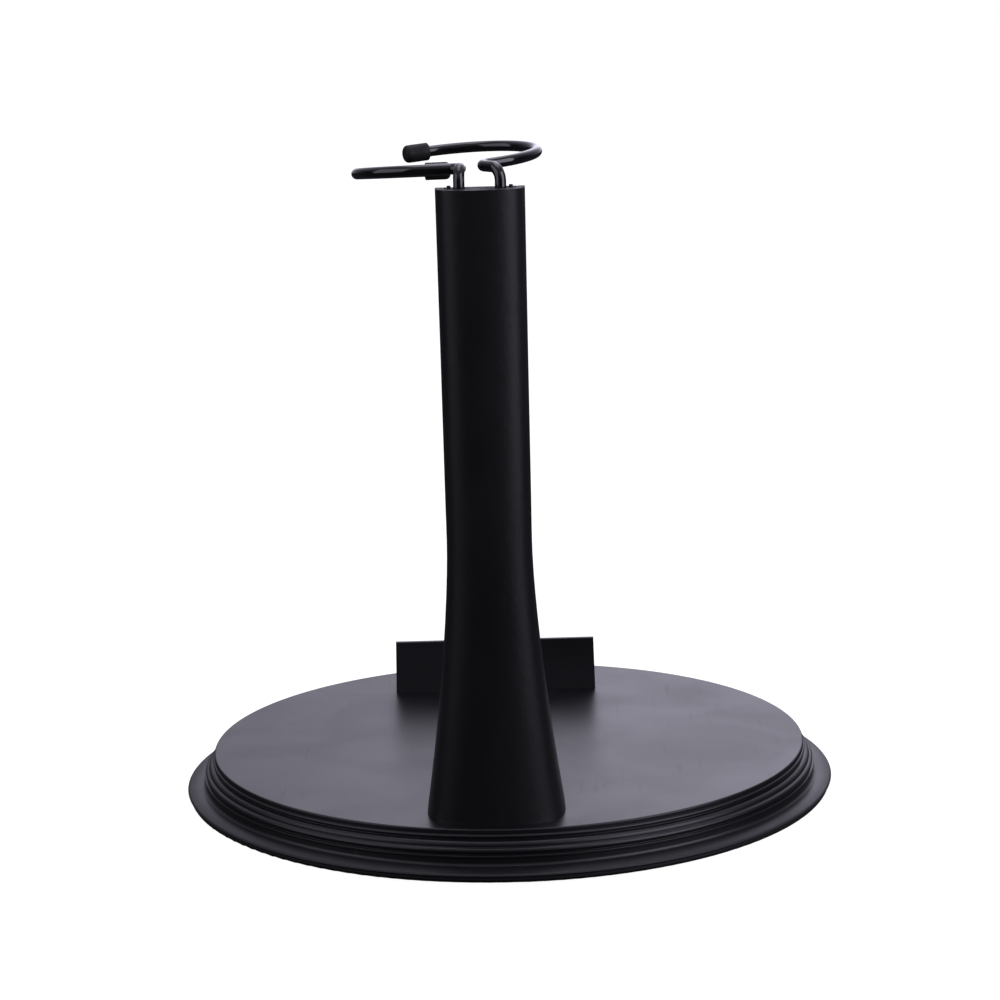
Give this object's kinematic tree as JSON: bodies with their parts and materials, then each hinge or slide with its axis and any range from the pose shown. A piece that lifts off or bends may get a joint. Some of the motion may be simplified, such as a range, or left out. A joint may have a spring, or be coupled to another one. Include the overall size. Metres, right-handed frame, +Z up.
{
  "type": "figure display stand",
  "caption": "Round stepped base with a tall hollow pillar at the back, a sliding clamp carriage and swivelling wire arms that close round a small figure's waist.",
  "frame": {"origin": "on the table, under the centre of the round base", "axes": "+Z up; -Y towards the front, where the label block is; the pillar stands at +Y"},
  "size_m": [0.168, 0.168, 0.1688],
  "materials": {
    "base_plastic": "satin black moulded plastic",
    "pillar_plastic": "fine-grained matte black moulded plastic",
    "carriage_plastic": "matte black moulded plastic",
    "coated_wire": "gloss black coating on steel wire",
    "tip_rubber": "matte black soft cap",
    "foot_rubber": "matte black rubber",
    "screw_steel": "zinc-plated steel",
    "spring_steel": "bare spring steel",
    "tape": "white foam tape",
    "label_metal": "brushed, blank"
  },
  "bodies": {
    "stand": {"base_shell": "base_plastic", "base_bottom_plate": "base_plastic", "bottom_plate_screws": "screw_steel", "rubber_foot_1": "foot_rubber", "rubber_foot_2": "foot_rubber", "rubber_foot_3": "foot_rubber", "rubber_foot_4": "foot_rubber", "pillar_rear_shell": "pillar_plastic", "pillar_front_cover": "pillar_plastic", "pillar_foot_screws": "screw_steel", "pillar_foot_washers": "screw_steel", "label_block": "base_plastic", "label_tape": "tape", "label_plate": "label_metal", "label_block_screws": "screw_steel"},
    "carriage": {"clamp_carriage": "carriage_plastic", "carriage_leaf_spring": "spring_steel"},
    "left_arm": {"left_wire_arm": "coated_wire", "left_tip_cap": "tip_rubber", "left_retaining_ring": "spring_steel"},
    "right_arm": {"right_wire_arm": "coated_wire", "right_tip_cap": "tip_rubber", "right_retaining_ring": "spring_steel"}
  },
  "joints": [
    {"name": "height_slide", "type": "slide", "parent": "stand", "child": "carriage", "axis": [0, 0, 1], "range_m": [0, 0.024]},
    {"name": "left_arm_swing", "type": "hinge", "parent": "carriage", "child": "left_arm", "pos_m": [-0.00151, 0.06825, 0.15], "axis": [0, 0, 1], "range_deg": [-95, 0]},
    {"name": "right_arm_swing", "type": "hinge", "parent": "carriage", "child": "right_arm", "pos_m": [0.00791, 0.06825, 0.15], "axis": [0, 0, 1], "range_deg": [-20, 60]}
  ]
}
